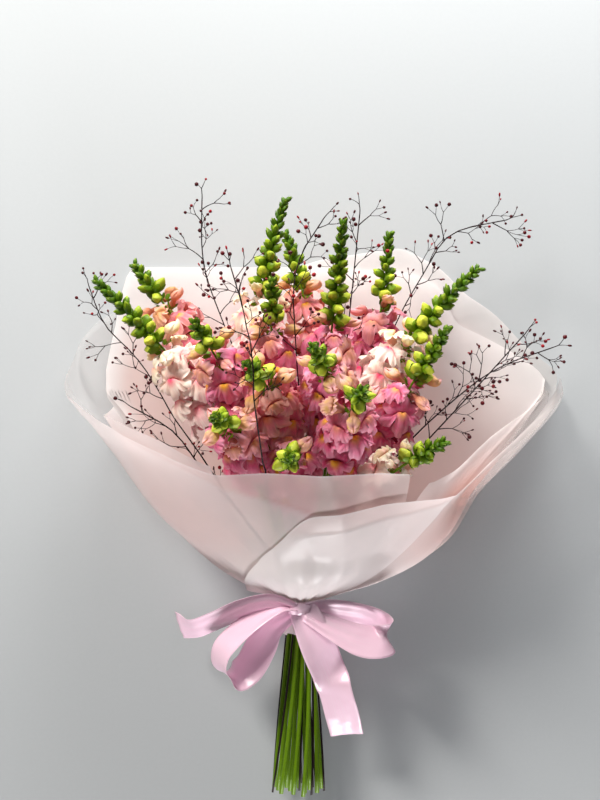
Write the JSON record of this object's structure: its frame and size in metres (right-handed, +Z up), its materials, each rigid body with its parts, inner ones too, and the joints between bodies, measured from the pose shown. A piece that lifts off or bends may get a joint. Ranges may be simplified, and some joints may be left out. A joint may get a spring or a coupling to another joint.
{
  "type": "wrapped snapdragon bouquet",
  "caption": "Hand-tied snapdragon bouquet with dark berry sprays, wrapped in layered translucent paper and tied at the neck with a satin bow, lying on its back.",
  "frame": {"origin": "middle of the bouquet's bounding box in plan, on the surface that it lies on", "axes": "+Y along the bouquet from the cut stem ends to the flower heads, +X to the right seen from above, +Z up, away from the surface, which is the side that the bouquet shows"},
  "size_m": [0.5478, 0.6482, 0.2809],
  "materials": {
    "green_stem": "fresh green stems, leaves and closed buds, satin",
    "pink_petal": "velvety pink snapdragon petals with a yellow palate",
    "cream_petal": "velvety cream-white snapdragon petals with a pink throat",
    "peach_petal": "velvety faded peach snapdragon petals",
    "dark_berry": "dark wine-red twigs and glossy berries",
    "wrap_paper": "frosted translucent pale pink flower wrap",
    "satin_ribbon": "pink satin ribbon, glossy along the weave",
    "twine": "natural jute twine, matt"
  },
  "bodies": {
    "root": {"snapdragon_1_stem": "green_stem", "snapdragon_1_florets": "cream_petal", "snapdragon_2_stem": "green_stem", "snapdragon_2_florets": "peach_petal", "snapdragon_3_stem": "green_stem", "snapdragon_3_florets": "cream_petal", "snapdragon_4_stem": "green_stem", "snapdragon_4_florets": "peach_petal", "snapdragon_5_stem": "green_stem", "snapdragon_5_florets": "pink_petal", "snapdragon_6_stem": "green_stem", "snapdragon_6_florets": "pink_petal", "snapdragon_7_stem": "green_stem", "snapdragon_7_florets": "cream_petal", "snapdragon_8_stem": "green_stem", "snapdragon_8_florets": "pink_petal", "snapdragon_9_stem": "green_stem", "snapdragon_9_florets": "peach_petal", "snapdragon_10_stem": "green_stem", "snapdragon_10_florets": "pink_petal", "snapdragon_11_stem": "green_stem", "snapdragon_11_florets": "pink_petal", "snapdragon_12_stem": "green_stem", "snapdragon_12_florets": "pink_petal", "snapdragon_13_stem": "green_stem", "snapdragon_13_florets": "cream_petal", "snapdragon_14_stem": "green_stem", "snapdragon_14_florets": "pink_petal", "snapdragon_15_stem": "green_stem", "snapdragon_15_florets": "pink_petal", "snapdragon_16_stem": "green_stem", "snapdragon_16_florets": "pink_petal", "berry_spray_1": "dark_berry", "berry_spray_2": "dark_berry", "berry_spray_3": "dark_berry", "berry_spray_4": "dark_berry", "berry_spray_5": "dark_berry", "berry_spray_6": "dark_berry", "berry_spray_7": "dark_berry", "berry_spray_8": "dark_berry", "berry_spray_9": "dark_berry", "wrap_back": "wrap_paper", "wrap_inner_left": "wrap_paper", "wrap_inner_right": "wrap_paper", "wrap_front": "wrap_paper", "wrap_right": "wrap_paper", "wrap_front_low": "wrap_paper", "wrap_back_outer": "wrap_paper", "twine": "twine", "ribbon": "satin_ribbon"}
  },
  "joints": []
}
